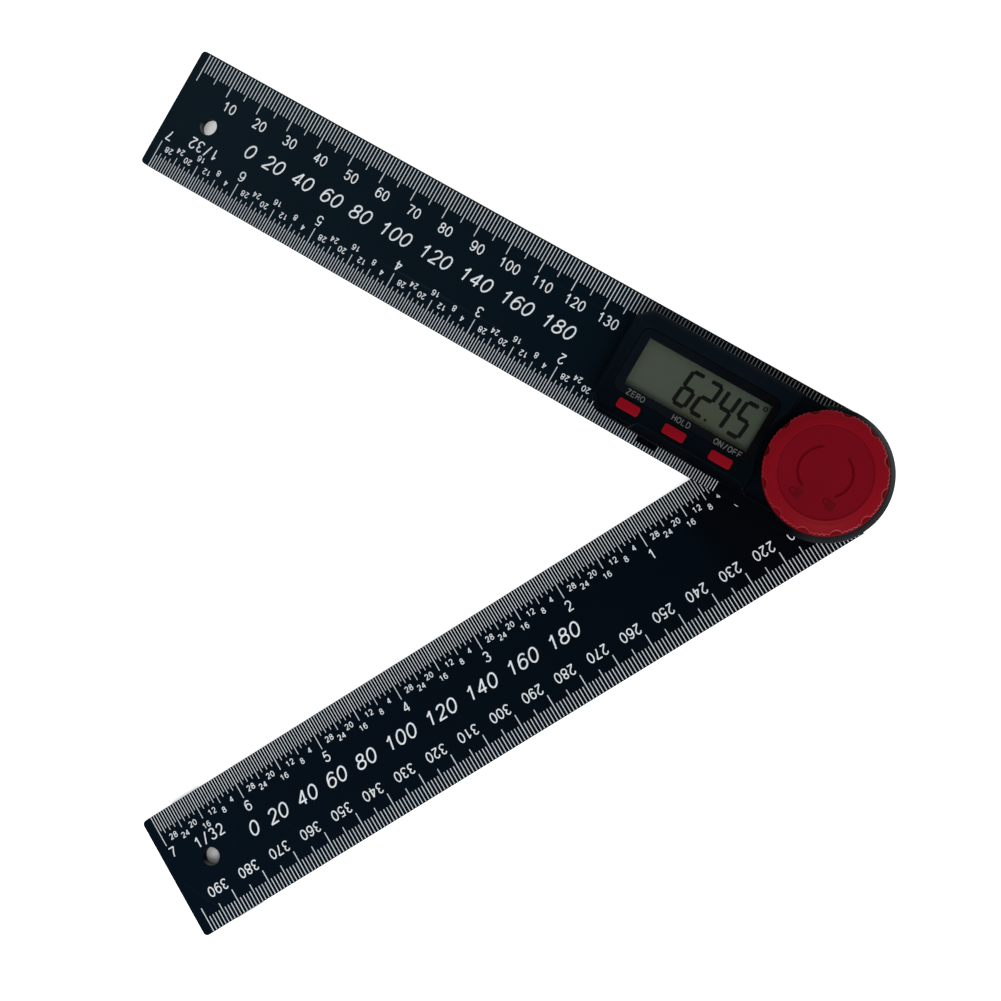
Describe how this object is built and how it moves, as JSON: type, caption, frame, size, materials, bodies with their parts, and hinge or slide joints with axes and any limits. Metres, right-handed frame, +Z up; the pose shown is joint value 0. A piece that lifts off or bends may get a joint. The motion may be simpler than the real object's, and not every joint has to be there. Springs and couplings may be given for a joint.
{
  "type": "digital angle finder",
  "caption": "Digital angle finder: ruled arms turn on a lockable pivot, with a display housing, push keys and a scalloped lock knob.",
  "frame": {"origin": "on the pivot's axis, at the underside of the lower arm, which is the face that the tool lies on", "axes": "+Z up through the pivot, from the lower arm to the knob; the upper arm, with the display, lies along -X; the lower arm is turned 62.45 degrees from it towards -Y; +Y is the upper arm's outer edge"},
  "size_m": [0.2199, 0.2049, 0.0175],
  "materials": {
    "blade": "fine matt moulded black with a cold blue cast",
    "housing": "satin moulded black",
    "lens": "polished clear window with a black border",
    "display_glass": "grey-green liquid crystal display",
    "cover": "satin moulded black",
    "button": "red moulded key",
    "knob": "deep red moulded grip",
    "knob_cap": "deep red disc with engraved arcs",
    "circuit_board": "green board with tinned tracks",
    "resin": "black potting drop",
    "steel": "turned or pressed steel",
    "cell_can": "nickel plated can",
    "contact_metal": "sprung bronze strip",
    "brass": "turned brass",
    "nylon": "natural nylon",
    "seal_rubber": "grey silicone rubber"
  },
  "bodies": {
    "upper_arm": {"upper_blade": "blade", "pivot_bush": "brass", "display_housing": "housing", "housing_screws": "steel", "display_lens": "lens", "lcd_panel": "display_glass", "zebra_strips": "seal_rubber", "circuit_board": "circuit_board", "board_screws": "steel", "controller_chip": "resin", "battery_cell": "cell_can", "battery_spring": "contact_metal", "battery_clip": "contact_metal", "battery_cover": "cover", "zero_dome": "seal_rubber", "hold_dome": "seal_rubber", "power_dome": "seal_rubber"},
    "lower_arm": {"lower_blade": "blade", "pivot_shaft": "steel", "flange_screws": "steel", "friction_washer": "nylon", "encoder_rotor": "circuit_board", "rotor_clip": "steel"},
    "clamp_washer": {"thrust_washer": "nylon"},
    "lock_knob": {"lock_knob": "knob", "knob_insert": "brass", "knob_cap": "knob_cap"},
    "zero_key": {"zero_button": "button"},
    "hold_key": {"hold_button": "button"},
    "power_key": {"power_button": "button"}
  },
  "joints": [
    {"name": "arm_turn", "type": "hinge", "parent": "upper_arm", "child": "lower_arm", "pos_m": [0, 0, 0], "axis": [0, 0, 1], "continuous": true},
    {"name": "knob_travel", "type": "slide", "parent": "lower_arm", "child": "clamp_washer", "axis": [0, 0, 1], "range_m": [-0.00025, 0.000083]},
    {"name": "knob_turn", "type": "hinge", "parent": "clamp_washer", "child": "lock_knob", "pos_m": [0, 0, 0], "axis": [0, 0, 1], "range_deg": [-90.01, 30]},
    {"name": "zero_press", "type": "slide", "parent": "upper_arm", "child": "zero_key", "axis": [0, 0, 1], "range_m": [-0.0006, 0], "stiffness_N_per_m": 1500, "deforming": ["zero_dome"]},
    {"name": "hold_press", "type": "slide", "parent": "upper_arm", "child": "hold_key", "axis": [0, 0, 1], "range_m": [-0.0006, 0], "stiffness_N_per_m": 1500, "deforming": ["hold_dome"]},
    {"name": "power_press", "type": "slide", "parent": "upper_arm", "child": "power_key", "axis": [0, 0, 1], "range_m": [-0.0006, 0], "stiffness_N_per_m": 1500, "deforming": ["power_dome"]}
  ],
  "couplings": [
    {"joint": "knob_turn", "follows": "knob_travel", "rad_per_m": 6283.2}
  ]
}
